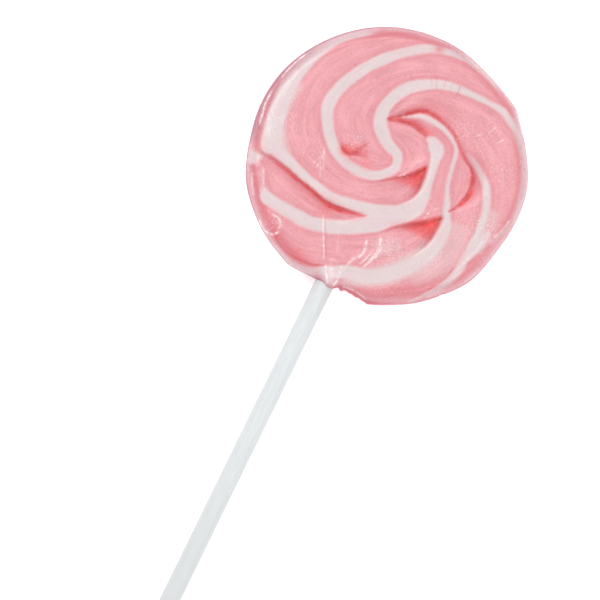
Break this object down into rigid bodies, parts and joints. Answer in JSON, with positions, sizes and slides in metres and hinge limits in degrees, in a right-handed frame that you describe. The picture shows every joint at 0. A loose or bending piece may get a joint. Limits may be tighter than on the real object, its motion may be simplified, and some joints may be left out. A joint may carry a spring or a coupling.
{
  "type": "swirl lollipop",
  "caption": "Swirl lollipop lying flat: a round pink boiled-sugar head with raised folds, white swirled bands and an off-centre eye, on a long plain white stick.",
  "frame": {"origin": "centre of the flat back of the head, which lies on the surface", "axes": "+Z out of the shown face, the stick runs out of the head along -Y"},
  "size_m": [0.0643, 0.1767, 0.0111],
  "materials": {
    "pink_candy": "glossy, slightly translucent pink boiled sugar",
    "white_candy": "satin, milky white pulled sugar",
    "stick": "smooth white stick"
  },
  "bodies": {
    "root": {"pink_candy": "pink_candy", "white_band_hooked": "white_candy", "white_band_forked": "white_candy", "white_band_long": "white_candy", "white_band_outer": "white_candy", "stick": "stick"}
  },
  "joints": []
}
